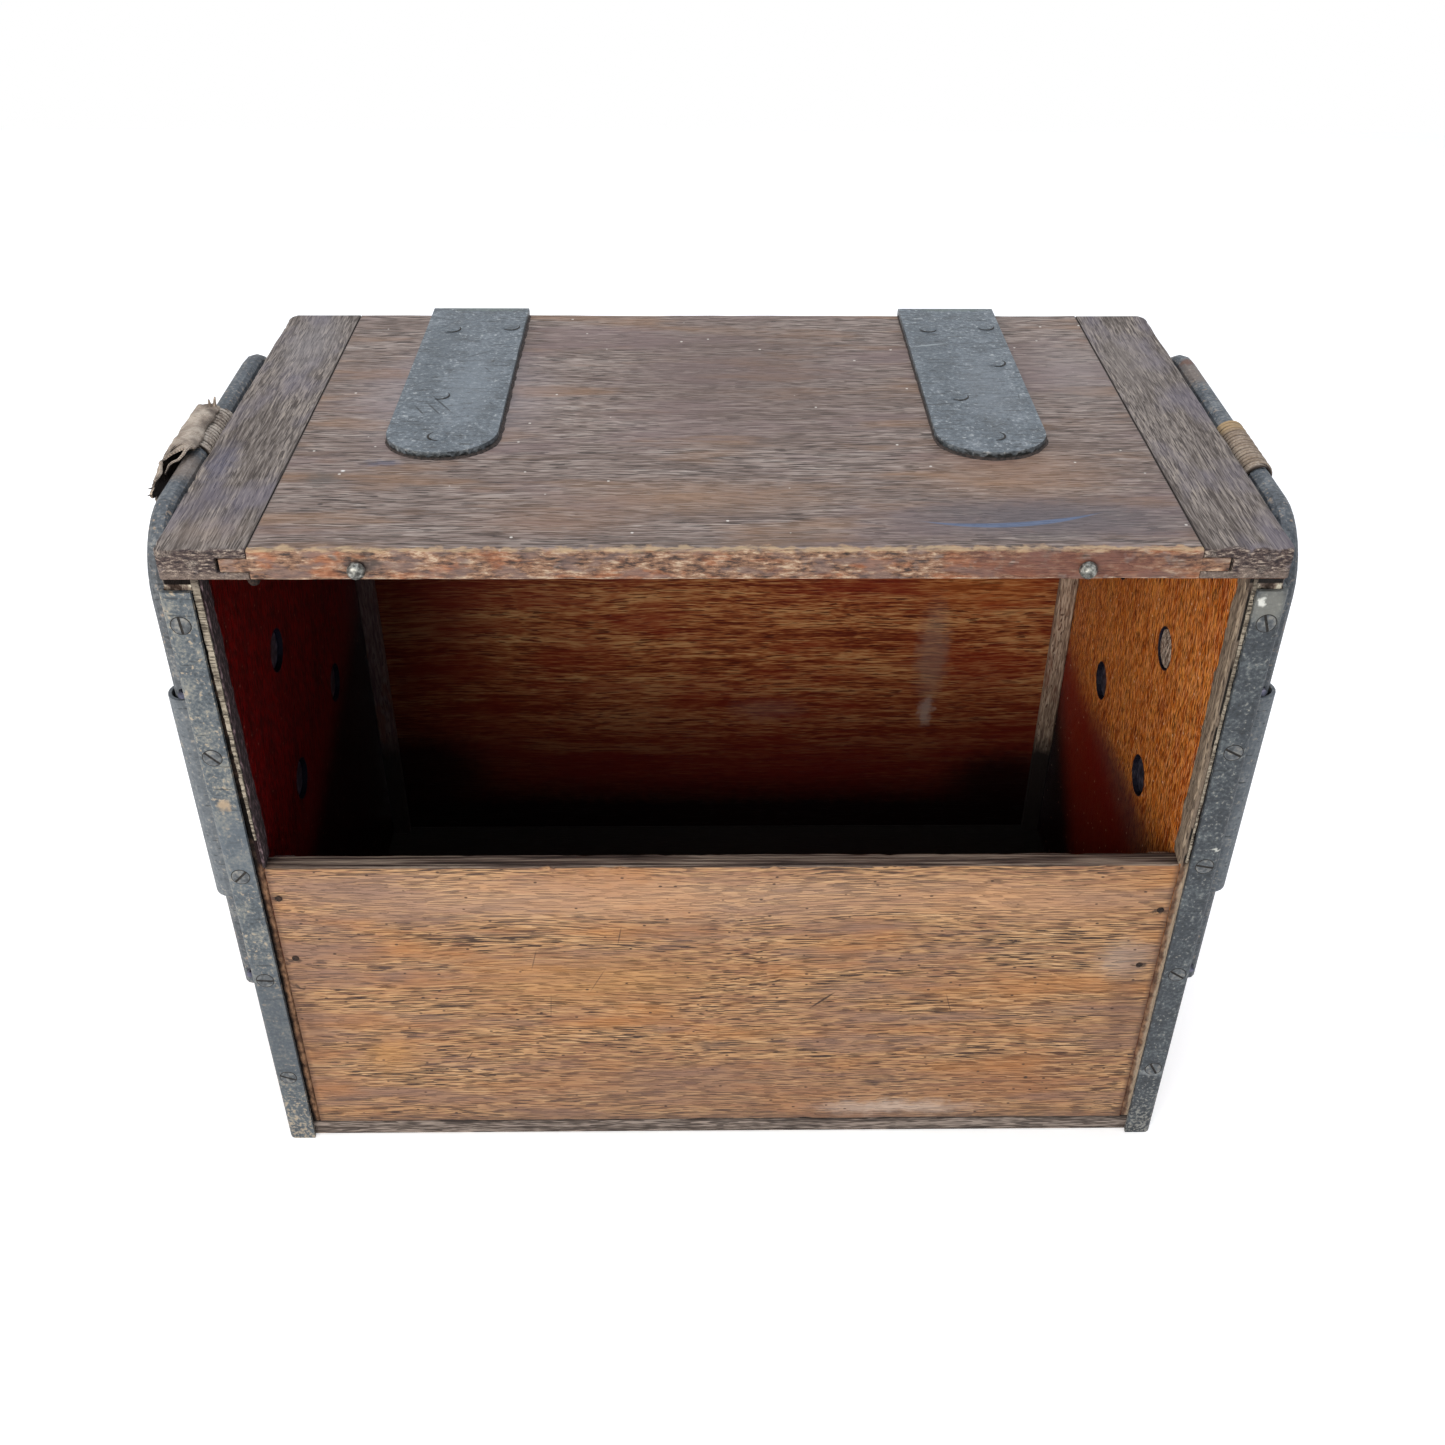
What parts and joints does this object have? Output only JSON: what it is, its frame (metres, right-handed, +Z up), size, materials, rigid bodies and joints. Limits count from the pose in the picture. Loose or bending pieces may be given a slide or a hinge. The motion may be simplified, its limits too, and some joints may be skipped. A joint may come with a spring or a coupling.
{
  "type": "storage box",
  "caption": "Weathered wooden battery crate with a hinged lid, steel corner straps, a half open front and two sliding bail handles.",
  "frame": {"origin": "middle of the crate's underside, on the floor it rests on", "axes": "+X is the crate's right, seen from its open front; +Y is its back, where the hinges are; +Z is up"},
  "size_m": [0.4671, 0.2591, 0.3434],
  "materials": {
    "lid_wood": "weathered, most of its varnish worn off",
    "batten_wood": "grey and weathered, end battens of the lid",
    "front_wood": "golden varnish, worn, with short dark pores",
    "side_wood": "orange brown varnish, fine scratches",
    "back_wood": "dark red brown varnish, dusty at the top",
    "bottom_wood": "worn edge of the bottom board",
    "fillet_wood": "bare pale strips, stained dark near the floor",
    "strap_steel": "worn grey paint, mottled, bare along its edges",
    "hinge_steel": "worn blue grey paint with scratches",
    "handle_steel": "worn grey paint on round rod and rolled plate",
    "bolt_steel": "dark, oxidised bolt steel",
    "stud_steel": "bare grey steel, hammered by use",
    "plug_wood": "bare tan plug",
    "cord": "waxed brown whipping cord",
    "canvas": "faded tan canvas, torn and frayed"
  },
  "bodies": {
    "case": {"back_board": "back_wood", "back_left_corner_strap": "strap_steel", "back_left_fillet": "fillet_wood", "back_left_hinge_leaf": "hinge_steel", "back_right_corner_strap": "strap_steel", "back_right_fillet": "fillet_wood", "back_right_hinge_leaf": "hinge_steel", "bottom_board": "bottom_wood", "front_board": "front_wood", "front_left_corner_strap": "strap_steel", "front_left_fillet": "fillet_wood", "front_right_corner_strap": "strap_steel", "front_right_fillet": "fillet_wood", "left_handle_plate": "handle_steel", "left_hinge_pin": "bolt_steel", "left_lower_back_bolt": "bolt_steel", "left_lower_back_nut": "bolt_steel", "left_lower_front_bolt": "bolt_steel", "left_lower_front_nut": "bolt_steel", "left_side_board": "side_wood", "left_upper_back_bolt": "bolt_steel", "left_upper_back_nut": "bolt_steel", "left_upper_front_bolt": "bolt_steel", "left_upper_front_nut": "bolt_steel", "right_handle_plate": "handle_steel", "right_hinge_pin": "bolt_steel", "right_lower_back_bolt": "bolt_steel", "right_lower_back_nut": "bolt_steel", "right_lower_front_bolt": "bolt_steel", "right_lower_front_nut": "bolt_steel", "right_side_board": "side_wood", "right_upper_back_bolt": "bolt_steel", "right_upper_back_nut": "bolt_steel", "right_upper_front_bolt": "bolt_steel", "right_upper_front_nut": "bolt_steel", "right_upper_front_plug": "plug_wood"},
    "lid": {"lid_left_batten": "batten_wood", "lid_left_hinge_leaf": "hinge_steel", "lid_left_stud": "stud_steel", "lid_panel": "lid_wood", "lid_right_batten": "batten_wood", "lid_right_hinge_leaf": "hinge_steel", "lid_right_stud": "stud_steel"},
    "left_handle": {"left_handle": "handle_steel", "left_handle_back_rest_pin": "bolt_steel", "left_handle_back_stop_pin": "bolt_steel", "left_handle_canvas": "canvas", "left_handle_front_rest_pin": "bolt_steel", "left_handle_front_stop_pin": "bolt_steel", "left_handle_whipping": "cord"},
    "right_handle": {"right_handle": "handle_steel", "right_handle_back_rest_pin": "bolt_steel", "right_handle_back_stop_pin": "bolt_steel", "right_handle_front_rest_pin": "bolt_steel", "right_handle_front_stop_pin": "bolt_steel", "right_handle_whipping": "cord"}
  },
  "joints": [
    {"name": "lid_hinge", "type": "hinge", "parent": "case", "child": "lid", "pos_m": [0, 0.1258, 0.3248], "axis": [-1, 0, 0], "range_deg": [0, 195]},
    {"name": "left_handle_slide", "type": "slide", "parent": "case", "child": "left_handle", "axis": [0, 0, 1], "range_m": [0, 0.048]},
    {"name": "right_handle_slide", "type": "slide", "parent": "case", "child": "right_handle", "axis": [0, 0, 1], "range_m": [0, 0.048]}
  ]
}
